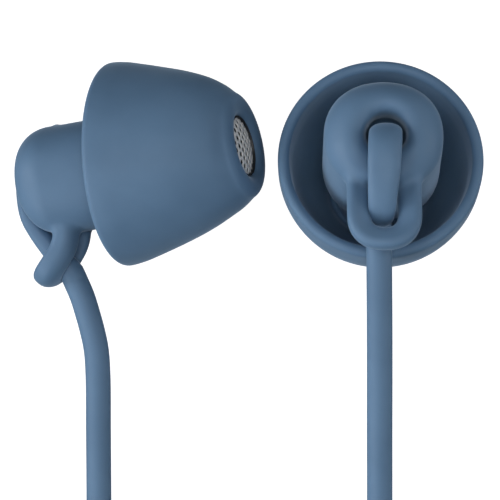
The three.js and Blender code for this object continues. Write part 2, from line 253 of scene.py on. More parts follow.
def grain(nodes, links, shader, where, layers):
    """Bump from noises: layers are (scale per metre, height in metres)."""
    before = None
    for scale, height in layers:
        noise = nodes.new("ShaderNodeTexNoise")
        noise.inputs["Scale"].default_value = scale
        noise.inputs["Detail"].default_value = 3.0
        bump = nodes.new("ShaderNodeBump")
        bump.inputs["Strength"].default_value = 1.0
        bump.inputs["Distance"].default_value = height
        links.new(where.outputs["Object"], noise.inputs["Vector"])
        links.new(noise.outputs["Fac"], bump.inputs["Height"])
        if before:
            links.new(before.outputs["Normal"], bump.inputs["Normal"])
        before = bump
    links.new(before.outputs["Normal"], shader.inputs["Normal"])


def varied_roughness(nodes, links, shader, where, low, high, scale):
    noise = nodes.new("ShaderNodeTexNoise")
    noise.inputs["Scale"].default_value = scale
    spread = nodes.new("ShaderNodeMapRange")
    spread.inputs["To Min"].default_value = low
    spread.inputs["To Max"].default_value = high
    links.new(where.outputs["Object"], noise.inputs["Vector"])
    links.new(noise.outputs["Fac"], spread.inputs["Value"])
    links.new(spread.outputs["Result"], shader.inputs["Roughness"])


def silicone_material():
    material, nodes, links, shader = node_material("slate_silicone")
    where, color = mottled(nodes, links, (0.098, 0.184, 0.300), (0.112, 0.206, 0.332), 260.0)
    links.new(color, shader.inputs["Base Color"])
    varied_roughness(nodes, links, shader, where, 0.50, 0.62, 900.0)
    grain(nodes, links, shader, where, [(900.0, 0.000006), (9000.0, 0.0000012)])
    shader.inputs["Specular IOR Level"].default_value = 0.35
    shader.inputs["Subsurface Weight"].default_value = 0.12
    shader.inputs["Subsurface Radius"].default_value = (0.6, 0.8, 1.0)
    shader.inputs["Subsurface Scale"].default_value = 0.0012
    shader.inputs["Sheen Weight"].default_value = 0.45
    shader.inputs["Sheen Roughness"].default_value = 0.35
    shader.inputs["Sheen Tint"].default_value = (0.62, 0.80, 1.0, 1.0)
    return material


def pod_material():
    material, nodes, links, shader = node_material("pod_plastic")
    where, color = mottled(nodes, links, (0.090, 0.168, 0.274), (0.102, 0.186, 0.300), 180.0)
    links.new(color, shader.inputs["Base Color"])
    varied_roughness(nodes, links, shader, where, 0.42, 0.55, 500.0)
    grain(nodes, links, shader, where, [(3500.0, 0.000008)])
    return material


def plain_material(name, dark, light, low, high, scale=2500.0, bump=0.000004, metallic=0.0, clear=0.0):
    """Two close colours, a roughness between low and high, and a fine grain of bump metres."""
    material, nodes, links, shader = node_material(name)
    where, color = mottled(nodes, links, dark, light, scale)
    links.new(color, shader.inputs["Base Color"])
    shader.inputs["Metallic"].default_value = metallic
    shader.inputs["Transmission Weight"].default_value = clear
    varied_roughness(nodes, links, shader, where, low, high, scale)
    grain(nodes, links, shader, where, [(scale * 2, bump)])
    return material


def metal_material(name, dark, light, low, high, scale=4000.0):
    return plain_material(name, dark, light, low, high, scale, 0.000003, metallic=1.0)


# ------------------------------------------------------------------ ear buds, each in its own millimetres
# A bud's axis is Z: its bell opens at z = 0, its nozzle points to -Z and its lead leaves towards -Y.
OPENING_RADIUS = 2.05
LIP_RADIUS = 0.88
LIP_MIDDLE = 2.82
BELL_WALL = 0.75
WALL_THICKENS = 0.1  # per millimetre towards the nozzle
HOUSING_RADIUS = 3.6
HOUSING_WIDER = 1.08
HOUSING_SQUARENESS = 2.2
HOUSING_FRONT = -4.3
HOUSING_BACK = 6.6
CAVITY_RADIUS = 2.95
HOLE_RADIUS = 0.76
HOLE_WIDER = 1.42
TROUGH_RADIUS = 1.2
LOOP_HALF_WIDTH = 1.64
LOOP_SQUARENESS = 2.3
LOOP_BAND = (0.78, 0.74)  # half the band's width and half its thickness
LOOP_CORNER = 0.62
LOOP_SLANT = 0.3
MESH_PITCH = 0.54
MESH_HOLE_RADIUS = 0.175
MESH_REACH = 1.95
MESH_DEPTH = 0.26
LEAD_RADIUS = 0.84

# The silicone is soft, so each bud lies a little differently. place and turn, in millimetres and degrees, put
# the housing and the bell in the row frame. lean, mouth_lean, lift and droop are for settle_bell. The bell's
# outside is (radius, height). The strap and the loop are (y, z), and strap_shift is x at the strap's two ends.
LEFT_BUD = {
    "side": "left",
    "place": (-8.96, 25.64, 6.5),
    "turn": (0.0, -105.0, 8.5),
    "dome": 2.6,
    "sag": (-0.28, 0.14),
    "bell_place": (-8.52, 25.74, 6.5),
    "bell_turn": (0.0, -109.0, 8.8),
    "lean": -0.07,
    "mouth_lean": 0.06,
    "droop": 0.13,
    "lift": 0.03,
    "length": 9.0,
    "outside": [(4.22, -7.72), (4.93, -6.4), (5.46, -5.1), (5.94, -3.6), (6.4, -2.0), (6.68, -0.9)],
    "rim": 6.79,
    "strap": [
        (0.35, 3.4), (0.4, 5.2), (0.0, 6.2), (-1.3, 6.5), (-2.6, 6.42), (-3.75, 5.95), (-4.9, 5.25),
        (-5.76, 4.72), (-6.5, 4.18),
    ],
    "strap_shift": (0.0, 0.0),
    "loop": [(-2.2, 3.4), (-3.92, 3.58), (-4.85, 3.93), (-5.75, 4.65), (-6.7, 5.68)],
}
RIGHT_BUD = {
    "side": "right",
    "place": (8.67, 26.2, 10.75),
    "turn": (-17.0, 0.0, 0.0),
    "dome": 2.5,
    "sag": (0.0, 0.0),
    "bell_place": (8.6, 25.95, 10.75),
    "bell_turn": (-15.5, 0.0, 0.0),
    "lean": 0.0,
    "mouth_lean": 0.0,
    "droop": 0.0,
    "lift": 0.0,
    "length": 9.4,
    "outside": [(4.15, -8.0), (5.0, -6.4), (5.7, -5.1), (6.38, -3.6), (6.71, -2.0), (6.76, -0.9)],
    "rim": 6.77,
    "strap": [
        (0.0, 3.4), (-0.05, 5.0), (-0.6, 6.2), (-1.55, 6.6), (-2.6, 6.45), (-3.8, 5.95), (-4.72, 5.3),
        (-5.27, 4.76), (-5.38, 4.1), (-5.22, 3.4), (-5.2, 2.8), (-5.6, 2.2), (-6.13, 1.9),
    ],
    "strap_shift": (0.2, -0.34),
    "loop": [(-2.2, 4.1), (-3.9, 4.35), (-5.6, 4.65), (-7.2, 4.8)],
}


def turn_matrix(place, turn):
    rx, ry, rz = (math.radians(a) for a in turn)
    rotation = Matrix.Rotation(rz, 4, "Z") @ Matrix.Rotation(ry, 4, "Y") @ Matrix.Rotation(rx, 4, "X")
    return Matrix.Translation(Vector(place) * MM) @ rotation @ Matrix.Scale(MM, 4)


def placed(points, matrix):
    m = np.array(matrix)
    return np.asarray(points) @ m[:3, :3].T + m[:3, 3]


def bud_matrix(bud):
    return turn_matrix(bud["place"], bud["turn"])


def bell_matrix(bud):
    return turn_matrix(bud["bell_place"], bud["bell_turn"])


def arc(centre, radius, start, end, steps):
    turns = np.radians(np.linspace(start, end, steps + 1))
    return [(centre[0] + radius * math.cos(t), centre[1] + radius * math.sin(t)) for t in turns]


def settle_bell(bud, points):
    """The soft bell's rim and mouth lean a little, its nose lies a little high, and its mouth droops."""
    x, y, z = np.asarray(points).T
    near_rim = np.clip(1.0 + z / 9.0, 0.0, 1.0)
    near_nose = np.clip((-3.5 - z) / 3.0, 0.0, 1.0)
    near_mouth = np.clip((-6.0 - z) / 1.5, 0.0, 1.0)
    near_mouth = near_mouth * np.clip((4.8 - np.hypot(x, y)) / 2.4, 0.0, 1.0)
    lean = bud["lean"] * near_rim + bud["mouth_lean"] * near_mouth
    return np.column_stack([x, y + bud["lift"] * near_nose - bud["droop"] * near_mouth, z + lean * y])


def ear_tip(bud, material):
    """The soft bell: a rounded lip, a convex outside, a rolled rim, and a sleeve that grips the nozzle."""
    length, rim_radius = bud["length"], bud["rim"]
    mouth = [(0.0, 0.78), (0.0, 0.6), (0.02, 0.42), (0.1, 0.26), (0.25, 0.12), (0.48, 0.02)]
    lip = [(OPENING_RADIUS + r, h - length) for r, h in mouth]
    lip += arc((LIP_MIDDLE, LIP_RADIUS - length), LIP_RADIUS, 278, 335, 5)
    rim = arc((rim_radius - BELL_WALL / 2, 0.0), BELL_WALL / 2, 0, 180, 8)
    inside = [(r - BELL_WALL + WALL_THICKENS * h, h) for r, h in reversed(bud["outside"][1:])]
    inside.append((3.15, 2.15 - length))
    sleeve = [(2.95, 2.2 - length), (2.85, 2.9 - length), (2.8, 3.9 - length), (2.6, 4.1 - length),
              (2.42, 3.9 - length), (2.4, 2.5 - length), (2.36, 0.9 - length)]
    profile = smooth_line([*lip, *bud["outside"], *rim, *inside, *sleeve], 320, closed=True)
    points, faces = revolve(profile, 160)
    skin = placed(settle_bell(bud, points), bell_matrix(bud))
    obj = add_mesh(f"{bud['side']}_ear_tip_skin", skin, faces, material)
    return assign(obj, f"{bud['side']}_ear_tip", f"{bud['side']}_bud")


def strap_line(bud, count):
    flat = smooth_line(bud["strap"], count)
    return np.column_stack([np.linspace(*bud["strap_shift"], count), flat])


def loop_field(grid, bud):
    """Distance to the strain loop: a band of rounded square section along a U, on a sheet bent in Y and Z.
    The grid's y and z don't depend on x, so the sheet is worked out once, in the plane."""
    x, y, z = grid
    overrun = 3.0
    path = smooth_line(bud["loop"], 30)
    last = path[-1] - path[-2]
    path = np.vstack([path, path[-1] + last / np.linalg.norm(last) * overrun])
    along, off, best = np.zeros(y[0].shape), np.zeros(y[0].shape), np.full(y[0].shape, 1e9)
    flat_y, flat_z, travelled = y[0], z[0], 0.0
    for a, b in zip(path[:-1], path[1:]):
        length = np.linalg.norm(b - a)
        d = (b - a) / length
        t = np.clip((flat_y - a[0]) * d[0] + (flat_z - a[1]) * d[1], 0.0, length)
        dy, dz = flat_y - a[0] - t * d[0], flat_z - a[1] - t * d[1]
        gap = np.hypot(dy, dz)
        nearer = gap < best
        best = np.where(nearer, gap, best)
        along = np.where(nearer, travelled + t, along)
        off = np.where(nearer, np.copysign(gap, dy * d[1] - dz * d[0]), off)
        travelled += length
    centre = travelled - overrun - LOOP_HALF_WIDTH
    beyond = np.maximum(along[None] - centre, 0.0)
    power = LOOP_SQUARENESS
    across = (np.abs(x) ** power + beyond ** power) ** (1.0 / power) - LOOP_HALF_WIDTH
    slant = np.abs(off[None] - LOOP_SLANT * across)
    return rounded_square(np.abs(across) - LOOP_BAND[0], slant - LOOP_BAND[1], LOOP_CORNER)


def rear_housing(bud, material):
    """The housing's skin: a soft round body with a domed back, the funnel that the lead comes out of, the
    trough that it lies in, and the strain loop, which grows out of the body."""
    low = (-4.5, -8.8, -4.7)
    grid = field_grid(low, (4.5, 4.3, 7.6))
    x, y, z = grid

    down, back = bud["sag"]
    low_y = y - down + 0.06 * np.clip(z / 3.0, 0.0, 1.0)
    full_y = np.abs(np.where(low_y < 0.0, low_y / 1.03, low_y))
    power = HOUSING_SQUARENESS
    sagged = (np.abs(x / HOUSING_WIDER) ** power + full_y ** power) ** (1 / power)
    middle, half = (HOUSING_BACK + HOUSING_FRONT) / 2, (HOUSING_BACK - HOUSING_FRONT) / 2
    body = rounded_square(sagged - HOUSING_RADIUS, np.abs(z - back - middle) - half, bud["dome"])
    mould_mark = np.sqrt(x ** 2 + (y - down - 3.32) ** 2 + (z - 3.7) ** 2) - 0.3
    body = soft_union(body, mould_mark, 0.12)

    strap = strap_line(bud, STRAP_POINTS)
    raised = strap.copy()
    raised[:, 1] -= 0.1
    raised[:, 2] += 0.35 + 0.85 * np.clip((-2.0 - strap[:, 1]) / 1.2, 0.0, 1.0)
    body = soft_cut(body, tube_field(grid, raised, TROUGH_RADIUS), 1.7)

    hole_x, exit_y = strap[3][0] / 1.35, strap[0][1]
    hole_line = np.array([(hole_x, exit_y + 0.75, 3.2), (hole_x, exit_y - 1.9, 8.2)])
    body = soft_cut(body, tube_field((x / HOLE_WIDER, y, z), hole_line, HOLE_RADIUS), 0.7)

    cavity = np.maximum(np.sqrt((x / HOUSING_WIDER) ** 2 + y ** 2) - CAVITY_RADIUS, np.abs(z + 1.0) - 3.6)
    body = np.maximum(body, -cavity)
    shape = soft_union(body, loop_field(grid, bud), 0.45)
    obj = mesh_of_field(f"{bud['side']}_rear_housing_skin", shape, low, bud_matrix(bud), material)
    return assign(obj, f"{bud['side']}_rear_housing", f"{bud['side']}_bud")


def nozzle_mesh(bud, material):
    """A thin, domed disc with round holes in a honeycomb pattern: each cell is a ring of quads from its hole
    to its hexagonal edge."""
    points, faces = [], []
    corners, cells, bulge = 18, 6, 0.07
    front = MESH_DEPTH - bud["length"]
    for column in range(-cells, cells + 1):
        for row in range(-cells, cells + 1):
            cx = column * MESH_PITCH * math.sqrt(3) / 2
            cy = (row + 0.5 * (column % 2)) * MESH_PITCH
            if math.hypot(cx, cy) > MESH_REACH:
                continue
            first = len(points)
            for k in range(corners):
                turn = 2 * math.pi * k / corners
                edge = MESH_PITCH / 2 / math.cos(turn % (math.pi / 3) - math.pi / 6)
                for radius in (MESH_HOLE_RADIUS, edge):
                    px, py = cx + radius * math.cos(turn), cy + radius * math.sin(turn)
                    points.append((px, py, front + bulge * (px * px + py * py)))
            for k in range(corners):
                a, b = first + 2 * k, first + 2 * ((k + 1) % corners)
                faces.append((a, a + 1, b + 1, b))
    skin = placed(settle_bell(bud, points), bell_matrix(bud))
    obj = add_mesh(f"{bud['side']}_nozzle_grille", skin, faces, material)
    work = bmesh.new()
    work.from_mesh(obj.data)
    bmesh.ops.remove_doubles(work, verts=work.verts, dist=0.004 * MM)
    bmesh.ops.recalc_face_normals(work, faces=work.faces)
    work.to_mesh(obj.data)
    work.free()
    sheet = obj.modifiers.new("sheet", "SOLIDIFY")
    sheet.thickness = 0.07 * MM
    sheet.offset = 0.0
    return assign(obj, f"{bud['side']}_nozzle_mesh", f"{bud['side']}_bud")


def nozzle_painted_shade_ring(bud, material):
    """A thin dark ring round the grille, shaped as the end of the nozzle tube: painted shade for the shadowed
    far wall of the opening.
    """
    profile = np.array([(1.92, 1.5), (1.92, 0.37), (1.96, 0.32), (2.0, 0.32), (2.04, 0.37), (2.04, 1.5)])
    points, faces = revolve(profile - np.array([0.0, bud["length"]]), 64)
    skin = placed(settle_bell(bud, points), bell_matrix(bud))
    obj = add_mesh(f"{bud['side']}_nozzle_painted_shade_ring", skin, faces, material)
    sharpen(obj, 50)
    return assign(obj, None, f"{bud['side']}_bud")


# ------------------------------------------------------------------ leads, in the row frame, in millimetres
LEFT_LEAD = [
    (-11.72, 18.0, 5.2), (-11.25, 16.92, 5.2), (-10.95, 15.98, 5.2), (-10.58, 14.64, 5.1),
    (-10.31, 13.3, 4.95), (-10.2, 11.5, 4.7), (-10.19, 8, 4.2), (-10.19, 3, 3.2), (-10.2, -3, 2),
    (-10.5, -10, 1.15), (-13.2, -18.5, 0.85), (-20, -27, 0.85), (-30, -34, 0.85), (-38, -42.5, 0.85),
    (-39, -54, 0.85), (-31.5, -62, 0.85), (-21.5, -68.5, 0.85), (-16.5, -78, 0.85), (-19, -89, 0.85),
    (-28.5, -96.5, 0.85), (-41, -98.5, 0.9), (-51, -94, 1.5), (-56.3, -87.5, 3), (-57.9, -82.5, 4.2),
    (-58, -77.2, 4.5),
]
RIGHT_LEAD = [
    (8.39, 20.0, 14.35), (8.41, 18.4, 14.15), (8.44, 16, 13.75), (8.47, 12.5, 13.0), (8.5, 8, 11.8),
    (8.55, 3, 10.2), (8.6, -4, 7.6), (8.9, -11, 4.9), (10, -18, 2.5), (13, -25.5, 1.15), (19.5, -32, 0.85),
    (29.5, -37.5, 0.85), (37.5, -45, 0.85), (38.5, -56, 0.85), (31, -64, 0.85), (21.5, -70, 0.85),
    (16.5, -79, 0.85), (19, -89.5, 0.85), (28.5, -96.8, 0.85), (41, -98.5, 0.9), (51, -94, 1.5),
    (56.3, -87.5, 3), (57.9, -82.5, 4.2), (58, -77.2, 4.5),
]
LEAD_POINTS = 460
STRAP_POINTS = 24


def cord_section(travelled, strap_length):
    """The cord is a flat strap where it folds over the housing, and round from the strain loop on."""
    share = travelled / strap_length
    shares = [0.0, 0.3, 0.42, 0.62, 0.8, 1.0]
    wide = np.interp(share, shares, [1.05, 1.1, 1.08, 0.92, 0.8, LEAD_RADIUS])
    thick = np.interp(share, shares, [0.6, 0.62, 0.56, 0.6, 0.76, LEAD_RADIUS])
    square = np.interp(share, shares, [2.2, 2.2, 2.6, 2.8, 2.3, 2.0])
    return oval(wide, thick, 32, square) * MM


def lead(bud, route, material):
    """One cord in two meshes on one smooth line: the strap, which rides on the bud, and the free lead. The
    lead starts just inside the strap's end."""
    side = bud["side"]
    matrix = bud_matrix(bud)
    strap = placed(strap_line(bud, STRAP_POINTS), matrix)
    route = np.array(route) * MM
    line = smooth_line(np.vstack([strap, route]), LEAD_POINTS)
    travelled = np.concatenate([[0.0], np.cumsum(np.linalg.norm(np.diff(line, axis=0), axis=1))])
    junction = int(np.argmin(np.linalg.norm(line - route[0], axis=1)))
    frames = frames_along(line, np.array(matrix)[:3, 0] / MM)
    sections = [cord_section(t, travelled[junction]) for t in travelled]

    points, faces = sweep(line[:junction + 1], sections, [f[:junction + 1] for f in frames])
    obj = add_mesh(f"{side}_lead_strap_skin", points, faces, material)
    sharpen(obj, 60)
    assign(obj, f"{side}_lead_strap", f"{side}_bud")

    start = junction - 1
    sections[start] = sections[start] * 0.85
    points, faces = sweep(line[start:], sections[start:], [f[start:] for f in frames])
    obj = add_mesh(f"{side}_lead_cord", points, faces, material)
    sharpen(obj, 60)
    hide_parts(f"{side}_lead")
    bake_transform(obj)
    return obj


# ------------------------------------------------------------------ neckband and pods, in millimetres
BAND_RADIUS = 60.0
BAND_TOP = 78.0
SLEEVE_RADIUS = 2.4
POD_X = 58.0
POD_WIDTH = 11.0
POD_HEIGHT = 9.0
POD_BACK = -20.0
POD_FRONT = -74.0
POD_WALL = 1.3
POD_ROUNDING = 2.2
SPLIT_Z = POD_HEIGHT / 2
SPLIT_GAP = 0.16
EDGE_SOFTENING = 0.12
BUTTON_TOP = POD_HEIGHT + 0.5
PORT_Y = -60.0
MIC_Y = -26.6
BUTTONS = {"volume_up": (-33.0, 4.4, 6.6), "play": (-42.0, 5.0, 5.0), "volume_down": (-51.0, 4.4, 6.6)}


def neckband_sleeve(material):
    """The sleeve over the memory wire, with the fine parting line that its mould leaves on both sides."""
    start = POD_BACK + 0.2
    bend_y = BAND_TOP - SLEEVE_RADIUS - BAND_RADIUS
    bend = [(BAND_RADIUS * math.cos(t), bend_y + BAND_RADIUS * math.sin(t), SLEEVE_RADIUS)
            for t in np.linspace(0.0, math.pi, 13)]
    low = (BAND_RADIUS - 0.6, 2.0, SLEEVE_RADIUS + 0.8)
    arm = [(POD_X, start, SPLIT_Z), (POD_X, -12.0, SPLIT_Z - 0.1), low]
    line = smooth_line([*arm, *bend, *[(-x, y, z) for x, y, z in reversed(arm)]], 260)
    turns = np.linspace(0.0, 2 * math.pi, 56, endpoint=False)
    ridge = 0.05 * np.exp(-((np.sin(turns) / 0.06) ** 2))
    radius = SLEEVE_RADIUS - 0.02
    section = np.stack([(radius + ridge) * np.cos(turns), radius * np.sin(turns)], axis=1)
    frames = frames_along(line, (1.0, 0.0, 0.0))
    points, faces = sweep(line * MM, [section * MM] * len(line), frames)
    return assign(add_mesh("neckband_sleeve_skin", points, faces, material), "neckband_sleeve")


def stadium(width, length, segments=20):
    """An outline with half-round ends, its long side along Y."""
    r, straight = width / 2, max(length - width, 0.0) / 2
    turns = np.linspace(0.0, math.pi, segments + 1)
    top = [(r * math.cos(t), straight + r * math.sin(t)) for t in turns]
    return np.array(top + [(-x, -y) for x, y in top])


def loft(width, length, profile, centre, segments=20):
    """A closed solid from stacked outlines: profile holds (inset, height) from one cap to the other."""
    rings = []
    for inset, height in profile:
        ring = stadium(width - 2 * inset, length - 2 * inset, segments)
        rings.append(np.column_stack([ring + np.array(centre), np.full(len(ring), height)]))
    return stacked(rings)


def block(low, high):
    """A box between two corners."""
    (x0, y0, z0), (x1, y1, z1) = low, high
    corners = np.array([(x, y, z) for x in (x0, x1) for y in (y0, y1) for z in (z0, z1)])
    return corners, [(0, 1, 3, 2), (4, 6, 7, 5), (0, 4, 5, 1), (2, 3, 7, 6), (0, 2, 6, 4), (1, 5, 7, 3)]


def merged(*solids):
    """Several closed solids as one list of points and faces."""
    points, faces, first = [], [], 0
    for solid_points, solid_faces in solids:
        points.append(np.asarray(solid_points))
        faces += [tuple(first + i for i in face) for face in solid_faces]
        first += len(solid_points)
    return np.vstack(points), faces


def apply_modifiers(obj):
    graph = bpy.context.evaluated_depsgraph_get()
    mesh = bpy.data.meshes.new_from_object(obj.evaluated_get(graph))
    obj.modifiers.clear()
    obj.data = mesh
    return obj


def cut_holes(obj, cutters, material):
    """Cuts the holes, then softens the edges and evens out the shading of the flat faces."""
    for points, faces in cutters:
        cutter = add_mesh("cutter", np.asarray(points) * MM, faces, material, smooth=False)
        cut = obj.modifiers.new("hole", "BOOLEAN")
        cut.operation, cut.solver, cut.object = "DIFFERENCE", "EXACT", cutter
        apply_modifiers(obj)
        bpy.data.objects.remove(cutter)
    edge = obj.modifiers.new("soft_edges", "BEVEL")
    edge.width = EDGE_SOFTENING * MM
    edge.segments = 2
    edge.limit_method = "ANGLE"
    edge.angle_limit = math.radians(40)
    apply_modifiers(obj)
    obj.data.polygons.foreach_set("use_smooth", [True] * len(obj.data.polygons))
    sharpen(obj, 38)
    normals = obj.modifiers.new("even_shading", "WEIGHTED_NORMAL")
    normals.keep_sharp = True
    apply_modifiers(obj)
    return obj


def pod_half(side, upper, material, cutters=()):
    """Half of a pod's shell: rounded outside, hollow inside, with a bevelled edge along the split line."""
    sign = -1 if side == "left" else 1
    edge = SPLIT_Z + (SPLIT_GAP if upper else -SPLIT_GAP) / 2

    def height(z):
        return z if upper else POD_HEIGHT - z

    turns = np.linspace(0.0, math.pi / 2, 12)
    insets = POD_ROUNDING * (1 - np.cos(turns))
    rounding = list(zip(insets, POD_HEIGHT - POD_ROUNDING * (1 - np.sin(turns))))
    rim = abs(edge - SPLIT_Z) + SPLIT_Z
    profile = [(POD_WALL, height(POD_HEIGHT - POD_WALL)), (POD_WALL, height(rim)), (0.16, height(rim)),
               (0.05, height(rim + 0.05)), (0.0, height(rim + 0.16)), *[(a, height(b)) for a, b in rounding]]
    centre = (sign * POD_X, (POD_BACK + POD_FRONT) / 2)
    points, faces = loft(POD_WIDTH, POD_BACK - POD_FRONT, profile, centre, 28)
    name = f"{side}_pod_{'upper' if upper else 'lower'}_shell"
    obj = add_mesh(f"{name}_skin", points * MM, faces, material)
    cut_holes(obj, cutters, material)
    return assign(obj, name)


def pod_ends(side, plastic, silicone):
    """The grooved collar where the sleeve enters the pod, and the ribbed gland where the lead leaves it."""
    sign = -1 if side == "left" else 1
    collar = [
        (2.55, -1.5), (3.5, -1.75), (3.88, -1.5), (3.88, 0.3), (3.84, 1.0), (3.68, 1.1), (3.68, 1.5),
        (3.8, 1.6), (3.74, 2.3), (3.58, 2.4), (3.58, 2.8), (3.7, 2.9), (3.58, 3.6), (3.3, 4.8), (3.02, 5.8),
        (2.85, 6.0), (2.55, 5.9),
    ]
    points, faces = revolve(np.array(collar), 64)
    turned = np.column_stack([points[:, 0] + sign * POD_X, POD_BACK + points[:, 2], points[:, 1] + SPLIT_Z])
    obj = add_mesh(f"{side}_collar_ring", turned * MM, faces, plastic)
    sharpen(obj, 35)
    assign(obj, f"{side}_pod_collar")
    gland = [(LEAD_RADIUS + 0.03, -0.4), (2.2, -0.5)]
    for rib in range(4):
        outer, start = 2.15 - 0.27 * rib, 0.25 + 0.95 * rib
        gland += [(outer, start), (outer - 0.04, start + 0.5)]
        gland += [(outer - 0.4, start + 0.58), (outer - 0.42, start + 0.88)]
    gland += [(1.22, 4.0), (LEAD_RADIUS + 0.03, 4.0)]
    points, faces = revolve(np.array(gland), 48)
    turned = np.column_stack([points[:, 0] + sign * POD_X, POD_FRONT - points[:, 2], points[:, 1] + SPLIT_Z])
    obj = add_mesh(f"{side}_gland_ribs", turned * MM, faces, silicone)
    sharpen(obj, 35)
    assign(obj, f"{side}_lead_gland")


def raised_ring(radius, centre):
    """A flat ring of oval section, its axis along Z."""
    around, section = 40, oval(0.16, 0.12, 10)
    count = len(section)
    points = []
    for turn in np.linspace(0.0, 2 * math.pi, around, endpoint=False):
        out = np.array([math.cos(turn), math.sin(turn), 0.0])
        points += [out * (radius + x) + np.array([0.0, 0.0, z]) + np.array(centre) for x, z in section]
    starts = [(i * count, (i + 1) % around * count) for i in range(around)]
    faces = [(a + j, a + (j + 1) % count, b + (j + 1) % count, b + j) for a, b in starts for j in range(count)]
    return np.array(points), faces


def button(name, material):
    """A soft key cap with a flange under the roof, a dished top and a raised plus, minus or ring."""
    y, width, length = BUTTONS[name]
    top = BUTTON_TOP
    cap = [(0.0, 7.2), (0.0, top - 0.42), (0.06, top - 0.2), (0.2, top - 0.05), (0.42, top), (0.6, top - 0.02),
           (1.0, top - 0.08), (1.6, top - 0.12)]
    flange = [(0.05, 6.85), (0.0, 6.9), (0.0, 7.35), (0.05, 7.4)]
    solids = [loft(width, length, cap, (POD_X, y), 24)]
    solids.append(loft(width + 1.2, length + 1.2, flange, (POD_X, y), 24))
    low, high = top - 0.4, top + 0.06
    bar = [(0.0, low), (0.0, high - 0.1), (0.05, high - 0.02), (0.12, high)]
    if name == "play":
        solids.append(raised_ring(0.8, (POD_X, y, high - 0.12)))
    else:
        across, faces = loft(0.42, 1.9, bar, (0.0, 0.0), 8)
        solids.append((np.column_stack([across[:, 1] + POD_X, across[:, 0] + y, across[:, 2]]), faces))
    if name == "volume_up":
        solids.append(loft(0.42, 1.9, bar, (POD_X, y), 8))
    points, faces = merged(*solids)
    obj = add_mesh(f"{name}_cap", points * MM, faces, material)
    sharpen(obj, 40)
    return assign(obj, f"{name}_button", name)


def along_x(points, x):
    """Turns a solid stacked along Z so that it is stacked along X, from x, in the middle of the port."""
    return np.column_stack([x + points[:, 2], PORT_Y + points[:, 1], SPLIT_Z + points[:, 0]])


def usb_socket(steel, plastic, gold):
    """The socket's rolled shell, the tongue inside it, and its rows of contacts."""
    shell = [(0.3, 0.6), (0.3, 6.92), (0.22, 7.0), (0.08, 7.0), (0.0, 6.9), (0.0, 0.0)]
    points, faces = loft(3.16, 8.94, shell, (0.0, 0.0), 16)
    obj = add_mesh("usb_shell", along_x(points, POD_X - 2.7) * MM, faces, steel)
    sharpen(obj, 35)
    assign(obj, "usb_socket")
    tongue = [(0.0, 0.3), (0.0, 6.2), (0.1, 6.35), (0.2, 6.4)]
    points, faces = loft(0.7, 6.7, tongue, (0.0, 0.0), 8)
    assign(add_mesh("usb_tongue", along_x(points, POD_X - 2.7) * MM, faces, plastic), None)
    contacts = []
    for i in range(12):
        middle = PORT_Y + 0.5 * (i - 5.5)
        low = (POD_X + 0.3, middle - 0.13, SPLIT_Z - 0.39)
        contacts.append(block(low, (POD_X + 3.3, middle + 0.13, SPLIT_Z + 0.39)))
    points, faces = merged(*contacts)
    assign(add_mesh("usb_contacts", points * MM, faces, gold, smooth=False), None)


def port_cover(material):
    """The soft flap over the socket, with a raised lip for a fingernail at its free end."""
    outer = POD_X + POD_WIDTH / 2
    length, tall, thick = 11.4, 4.4, 0.7
    profile = [(0.06, 0.0), (0.0, 0.08), (0.0, thick - 0.25), (0.08, thick - 0.08), (0.25, thick)]
    profile.append((0.5, thick))
    lip_profile = [(0.0, 0.0), (0.0, 0.12), (0.08, 0.24), (0.2, 0.28)]

    def stood_up(solid, x, y):
        points, faces = solid
        return np.column_stack([x + points[:, 2], y + points[:, 0], SPLIT_Z + points[:, 1]]), faces

    flap = stood_up(rounded_plate(length, tall, 0.9, profile), outer - thick, PORT_Y)
    lip = stood_up(loft(0.7, 2.6, lip_profile, (0.0, 0.0), 10), outer - 0.06, PORT_Y + length / 2 - 1.0)
    points, faces = merged(flap, lip)
    obj = add_mesh("port_flap", points * MM, faces, material)
    sharpen(obj, 40)
    return assign(obj, "port_cover", "charging_cover")


def rounded_plate(length, width, corner, profile):
    """A plate with rounded corners, stacked along Z: profile holds (inset, height)."""
    rings = []
    for inset, height in profile:
        radius = max(corner - inset, 0.05)
        half_x, half_y = length / 2 - inset - radius, width / 2 - inset - radius
        ring = [(sx * half_x + radius * math.cos(t), sy * half_y + radius * math.sin(t), height)
                for sx, sy, start in ((1, 1, 0.0), (-1, 1, 90.0), (-1, -1, 180.0), (1, -1, 270.0))
                for t in np.radians(np.linspace(start, start + 90.0, 9))]
        rings.append(ring)
    return stacked(rings)


def light_pipe(material):
    top = POD_HEIGHT
    profile = [(0.05, 6.5), (0.0, 6.6), (0.0, top - 0.15), (0.1, top - 0.03), (0.3, top)]
    points, faces = loft(1.3, 1.3, profile, (POD_X, PORT_Y), 20)
    obj = add_mesh("status_light_lens", points * MM, faces, material)
    return assign(obj, "status_light_pipe")


def right_pod(plastic, silicone, steel, dark_plastic_and_painted_shade, gold, clear):
    outer = POD_X + POD_WIDTH / 2

    def side_cut(from_x, half_length, half_height):
        low = (from_x, PORT_Y - half_length, SPLIT_Z - half_height)
        return block(low, (outer + 1.0, PORT_Y + half_length, SPLIT_Z + half_height))

    recess = side_cut(outer - 0.85, 5.85, 2.35)
    port_hole = side_cut(POD_X + 3.5, 4.75, 1.85)
    through = [(0.0, 6.5), (0.0, 10.5)]
    gap = 0.36
    holes = [loft(w + gap, n + gap, through, (POD_X, y), 24) for y, w, n in BUTTONS.values()]
    holes.append(loft(1.45, 1.45, through, (POD_X, PORT_Y), 20))
    holes.append(loft(0.8, 0.8, through, (POD_X, MIC_Y), 12))
    pod_half("right", False, plastic, [recess, port_hole])
    pod_half("right", True, plastic, [recess, port_hole, *holes])
    pod_ends("right", plastic, silicone)
    for name in BUTTONS:
        button(name, silicone)
    usb_socket(steel, dark_plastic_and_painted_shade, gold)
    port_cover(silicone)
    light_pipe(clear)


